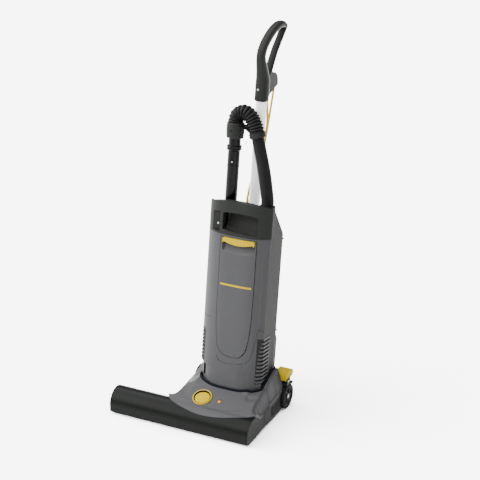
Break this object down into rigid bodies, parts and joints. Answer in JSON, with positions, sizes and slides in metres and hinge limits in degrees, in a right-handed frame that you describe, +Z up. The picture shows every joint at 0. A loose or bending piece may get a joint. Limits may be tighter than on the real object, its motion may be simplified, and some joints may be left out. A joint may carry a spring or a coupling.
{
  "type": "upright vacuum cleaner",
  "caption": "Commercial upright vacuum cleaner: wide brush head on wheels, reclining grey body with bag door, lift-out hose wand, loop handle and wound yellow mains cable.",
  "frame": {"origin": "on the floor, below the centre of the machine's bounding box as it stands parked", "axes": "+Z up, the brush housing faces -Y, the handle leans towards +Y, and +X is the side with the foot pedal"},
  "size_m": [0.49, 0.543, 1.19],
  "materials": {
    "grey_plastic": "satin",
    "dark_plastic": "satin",
    "black_plastic": "satin",
    "housing_black": "satin",
    "yellow_plastic": "gloss",
    "knob_ring": "gloss",
    "rubber": "matt",
    "tyre": "matt",
    "tube_paint": "satin",
    "steel": "brushed",
    "motor_can": "satin",
    "bag_cloth": "woven",
    "lamp": "gloss",
    "cable_yellow": "satin",
    "bristle": "matt"
  },
  "bodies": {
    "head": {"lower_chassis": "dark_plastic", "head_cover": "grey_plastic", "brush_housing": "housing_black", "left_end_cap": "housing_black", "right_end_cap": "dark_plastic", "sole_plate": "black_plastic", "rubber_seal": "rubber", "side_vent": "black_plastic", "knob_ring": "knob_ring", "brush_indicator": "knob_ring", "wheel_axle": "steel", "brush_motor": "motor_can", "drive_belt": "rubber", "pedal_bracket": "black_plastic", "pedal_pin": "steel"},
    "upright": {"pivot_pin_left": "steel", "pivot_pin_right": "steel", "front_shell": "grey_plastic", "rear_shell": "dark_plastic", "top_cover": "black_plastic", "indicator_lamp": "lamp", "vent_grille_left": "dark_plastic", "vent_grille_right": "dark_plastic", "swivel_drum": "dark_plastic", "suction_motor": "motor_can", "filter_bag": "bag_cloth", "hose_port": "black_plastic", "stretch_hose": "black_plastic", "hose_joint": "black_plastic", "bend_hose": "black_plastic", "hose_cuff": "black_plastic", "wand_tube": "black_plastic", "handle_tube": "tube_paint", "handle_front": "black_plastic", "handle_rear": "black_plastic", "handle_screw": "steel", "cable_hook": "black_plastic", "lower_cable_hook": "black_plastic", "cable_gland": "black_plastic", "mains_cable": "cable_yellow", "mains_cable_coil": "cable_yellow", "mains_cable_tail": "cable_yellow", "mains_plug": "black_plastic"},
    "left_wheel": {"wheel_hub_left": "dark_plastic", "wheel_tyre_left": "tyre"},
    "right_wheel": {"wheel_hub_right": "dark_plastic", "wheel_tyre_right": "tyre"},
    "yoke": {"roller_yoke": "steel"},
    "left_roller": {"front_roller_left": "rubber"},
    "right_roller": {"front_roller_right": "rubber"},
    "knob": {"height_knob": "yellow_plastic"},
    "brush": {"brush_core": "black_plastic", "brush_bristles": "bristle"},
    "pulley": {"motor_pulley": "motor_can"},
    "fan": {"fan_impeller": "dark_plastic"},
    "door": {"filter_door": "grey_plastic"},
    "latch": {"door_latch": "yellow_plastic"},
    "rocker": {"switch_rocker": "black_plastic"},
    "pedal": {"foot_pedal": "yellow_plastic"}
  },
  "joints": [
    {"name": "recline", "type": "hinge", "parent": "head", "child": "upright", "pos_m": [0.099, -0.0265, 0.095], "axis": [-1, 0, 0], "range_deg": [0, 72]},
    {"name": "wheel_left_spin", "type": "hinge", "parent": "head", "child": "left_wheel", "pos_m": [-0.062, 0.0075, 0.04], "axis": [1, 0, 0], "continuous": true},
    {"name": "wheel_right_spin", "type": "hinge", "parent": "head", "child": "right_wheel", "pos_m": [0.234, 0.0075, 0.04], "axis": [1, 0, 0], "continuous": true},
    {"name": "yoke_swing", "type": "hinge", "parent": "head", "child": "yoke", "pos_m": [0.061, -0.1215, 0.022], "axis": [1, 0, 0], "range_deg": [0, 8]},
    {"name": "knob_turn", "type": "hinge", "parent": "head", "child": "knob", "pos_m": [0.043, -0.1955, 0.09095], "axis": [0, -0.3601, 0.9329], "range_deg": [0, 150]},
    {"name": "roller_left_spin", "type": "hinge", "parent": "yoke", "child": "left_roller", "pos_m": [-0.042, -0.1495, 0.012], "axis": [1, 0, 0], "continuous": true},
    {"name": "roller_right_spin", "type": "hinge", "parent": "yoke", "child": "right_roller", "pos_m": [0.178, -0.1495, 0.012], "axis": [1, 0, 0], "continuous": true},
    {"name": "brush_spin", "type": "hinge", "parent": "head", "child": "brush", "pos_m": [-0.009, -0.2265, 0.036], "axis": [1, 0, 0], "continuous": true},
    {"name": "pulley_spin", "type": "hinge", "parent": "head", "child": "pulley", "pos_m": [0.218, -0.1195, 0.052], "axis": [1, 0, 0], "continuous": true},
    {"name": "pedal_press", "type": "hinge", "parent": "head", "child": "pedal", "pos_m": [0.223, 0.0055, 0.095], "axis": [-1, 0, 0], "range_deg": [0, 12], "stiffness_Nm_per_rad": 1, "springref_deg": -6.88},
    {"name": "fan_spin", "type": "hinge", "parent": "upright", "child": "fan", "pos_m": [0.155, -0.05781, 0.19674], "axis": [1, 0, 0], "continuous": true},
    {"name": "door_open", "type": "hinge", "parent": "upright", "child": "door", "pos_m": [0.106, -0.12736, 0.21169], "axis": [1, 0, 0], "range_deg": [0, 75]},
    {"name": "latch_pull", "type": "hinge", "parent": "door", "child": "latch", "pos_m": [0.107, -0.0749, 0.58301], "axis": [-1, 0, 0], "range_deg": [0, 12], "stiffness_Nm_per_rad": 0.3, "springref_deg": -2.86},
    {"name": "rocker_tilt", "type": "hinge", "parent": "upright", "child": "rocker", "pos_m": [0.029, -0.04405, 0.64059], "axis": [-1, 0, 0], "range_deg": [0, 10]}
  ],
  "couplings": [
    {"joint": "knob_turn", "follows": "yoke_swing", "ratio": 18.75},
    {"joint": "pulley_spin", "follows": "brush_spin", "ratio": 1.5}
  ]
}
